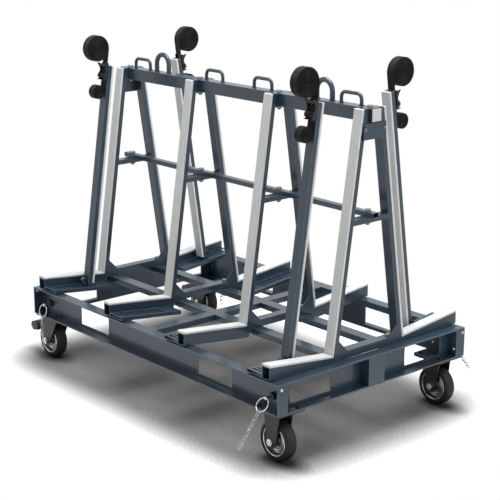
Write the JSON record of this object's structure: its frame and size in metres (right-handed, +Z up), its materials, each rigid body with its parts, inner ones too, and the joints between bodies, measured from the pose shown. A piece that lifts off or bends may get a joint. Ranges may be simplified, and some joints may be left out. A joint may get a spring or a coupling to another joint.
{
  "type": "slab A-frame cart",
  "caption": "Steel A-frame cart on casters that carries stone slabs on edge on both sides of leaning padded frames, held by padded posts with webbing straps.",
  "frame": {"origin": "on the floor under the middle of the base", "axes": "+X along the base away from the swivel casters, -Y the front side, +Z up"},
  "size_m": [1.718, 1.2518, 1.4191],
  "materials": {
    "painted_steel": "satin powder coat",
    "black_steel": "satin black coating",
    "zinc_steel": "bright zinc plate",
    "bright_chain": "bright nickel plate",
    "pad_rubber": "smooth pale rubber",
    "end_cap": "moulded pale plastic",
    "tyre_rubber": "smooth black rubber",
    "webbing": "woven polyester webbing",
    "pedal_plastic": "moulded black"
  },
  "bodies": {
    "cart": {"front_channel": "painted_steel", "rear_channel": "painted_steel", "left_end_channel": "painted_steel", "right_end_channel": "painted_steel", "stringers": "painted_steel", "cross_members": "painted_steel", "a_frame_1": "painted_steel", "a_frame_2": "painted_steel", "a_frame_3": "painted_steel", "a_frame_4": "painted_steel", "leg_pads": "pad_rubber", "foot_pads": "pad_rubber", "front_racks": "painted_steel", "rear_racks": "painted_steel", "ridge_beam": "painted_steel", "beam_end_caps": "end_cap", "carry_handles": "painted_steel", "lifting_bails": "painted_steel", "mid_rail": "painted_steel", "frame_bolts": "zinc_steel", "caster_plates": "black_steel", "plate_bolts": "zinc_steel", "fixed_forks": "black_steel", "lock_pins": "zinc_steel"},
    "left_front_swivel": {"left_front_fork": "black_steel"},
    "left_front_pedal": {"left_front_pedal": "pedal_plastic"},
    "left_rear_swivel": {"left_rear_fork": "black_steel"},
    "left_rear_pedal": {"left_rear_pedal": "pedal_plastic"},
    "left_front_wheel": {"left_front_hub": "zinc_steel", "left_front_tyre": "tyre_rubber"},
    "right_front_wheel": {"right_front_hub": "zinc_steel", "right_front_tyre": "tyre_rubber"},
    "left_rear_wheel": {"left_rear_hub": "zinc_steel", "left_rear_tyre": "tyre_rubber"},
    "right_rear_wheel": {"right_rear_hub": "zinc_steel", "right_rear_tyre": "tyre_rubber"},
    "left_front_post": {"left_front_post": "painted_steel", "left_front_post_pad": "pad_rubber", "left_front_strap": "webbing", "left_front_ratchet": "black_steel"},
    "left_front_lever": {"left_front_lever": "black_steel"},
    "right_front_post": {"right_front_post": "painted_steel", "right_front_post_pad": "pad_rubber", "right_front_strap": "webbing", "right_front_ratchet": "black_steel"},
    "right_front_lever": {"right_front_lever": "black_steel"},
    "left_rear_post": {"left_rear_post": "painted_steel", "left_rear_post_pad": "pad_rubber", "left_rear_strap": "webbing", "left_rear_ratchet": "black_steel"},
    "left_rear_lever": {"left_rear_lever": "black_steel"},
    "right_rear_post": {"right_rear_post": "painted_steel", "right_rear_post_pad": "pad_rubber", "right_rear_strap": "webbing", "right_rear_ratchet": "black_steel"},
    "right_rear_lever": {"right_rear_lever": "black_steel"},
    "left_front_chain": {"left_front_chain": "bright_chain"},
    "right_front_chain": {"right_front_chain": "bright_chain"},
    "left_rear_chain": {"left_rear_chain": "bright_chain"},
    "right_rear_chain": {"right_rear_chain": "bright_chain"}
  },
  "joints": [
    {"name": "left_front_swivel_turn", "type": "hinge", "parent": "cart", "child": "left_front_swivel", "pos_m": [-0.725, -0.429, 0.19], "axis": [0, 0, 1], "continuous": true, "deforming": ["left_front_chain"]},
    {"name": "left_front_pedal_press", "type": "hinge", "parent": "left_front_swivel", "child": "left_front_pedal", "pos_m": [-0.791, -0.429, 0.1771], "axis": [0, -1, 0], "range_deg": [0, 5]},
    {"name": "left_rear_swivel_turn", "type": "hinge", "parent": "cart", "child": "left_rear_swivel", "pos_m": [-0.725, 0.429, 0.19], "axis": [0, 0, 1], "continuous": true, "deforming": ["left_rear_chain"]},
    {"name": "left_rear_pedal_press", "type": "hinge", "parent": "left_rear_swivel", "child": "left_rear_pedal", "pos_m": [-0.791, 0.429, 0.1771], "axis": [0, -1, 0], "range_deg": [0, 5]},
    {"name": "left_front_wheel_spin", "type": "hinge", "parent": "left_front_swivel", "child": "left_front_wheel", "pos_m": [-0.765, -0.429, 0.08], "axis": [0, 1, 0], "continuous": true},
    {"name": "right_front_wheel_spin", "type": "hinge", "parent": "cart", "child": "right_front_wheel", "pos_m": [0.725, -0.429, 0.08], "axis": [0, 1, 0], "continuous": true},
    {"name": "left_rear_wheel_spin", "type": "hinge", "parent": "left_rear_swivel", "child": "left_rear_wheel", "pos_m": [-0.765, 0.429, 0.08], "axis": [0, 1, 0], "continuous": true},
    {"name": "right_rear_wheel_spin", "type": "hinge", "parent": "cart", "child": "right_rear_wheel", "pos_m": [0.725, 0.429, 0.08], "axis": [0, 1, 0], "continuous": true},
    {"name": "left_front_post_lift", "type": "slide", "parent": "cart", "child": "left_front_post", "axis": [0, 0.1452, 0.9894], "range_m": [0, 0.12]},
    {"name": "left_front_lever_turn", "type": "hinge", "parent": "left_front_post", "child": "left_front_lever", "pos_m": [-0.67, -0.19429, 1.23784], "axis": [1, 0, 0], "range_deg": [0, 110]},
    {"name": "right_front_post_lift", "type": "slide", "parent": "cart", "child": "right_front_post", "axis": [0, 0.1452, 0.9894], "range_m": [0, 0.12]},
    {"name": "right_front_lever_turn", "type": "hinge", "parent": "right_front_post", "child": "right_front_lever", "pos_m": [0.67, -0.23829, 1.24278], "axis": [1, 0, 0], "range_deg": [0, 110]},
    {"name": "left_rear_post_lift", "type": "slide", "parent": "cart", "child": "left_rear_post", "axis": [0, -0.1452, 0.9894], "range_m": [0, 0.12]},
    {"name": "left_rear_lever_turn", "type": "hinge", "parent": "left_rear_post", "child": "left_rear_lever", "pos_m": [-0.67, 0.23829, 1.24278], "axis": [-1, 0, 0], "range_deg": [0, 110]},
    {"name": "right_rear_post_lift", "type": "slide", "parent": "cart", "child": "right_rear_post", "axis": [0, -0.1452, 0.9894], "range_m": [0, 0.12]},
    {"name": "right_rear_lever_turn", "type": "hinge", "parent": "right_rear_post", "child": "right_rear_lever", "pos_m": [0.67, 0.19429, 1.23784], "axis": [-1, 0, 0], "range_deg": [0, 110]},
    {"name": "left_front_chain_swing", "type": "hinge", "parent": "cart", "child": "left_front_chain", "pos_m": [-0.728, -0.494, 0.258], "axis": [-1, 0, 0], "range_deg": [0, 60]},
    {"name": "right_front_chain_swing", "type": "hinge", "parent": "cart", "child": "right_front_chain", "pos_m": [0.728, -0.494, 0.258], "axis": [-1, 0, 0], "range_deg": [-22, 45]},
    {"name": "left_rear_chain_swing", "type": "hinge", "parent": "cart", "child": "left_rear_chain", "pos_m": [-0.728, 0.494, 0.258], "axis": [1, 0, 0], "range_deg": [0, 60]},
    {"name": "right_rear_chain_swing", "type": "hinge", "parent": "cart", "child": "right_rear_chain", "pos_m": [0.728, 0.494, 0.258], "axis": [1, 0, 0], "range_deg": [-22, 45]}
  ]
}
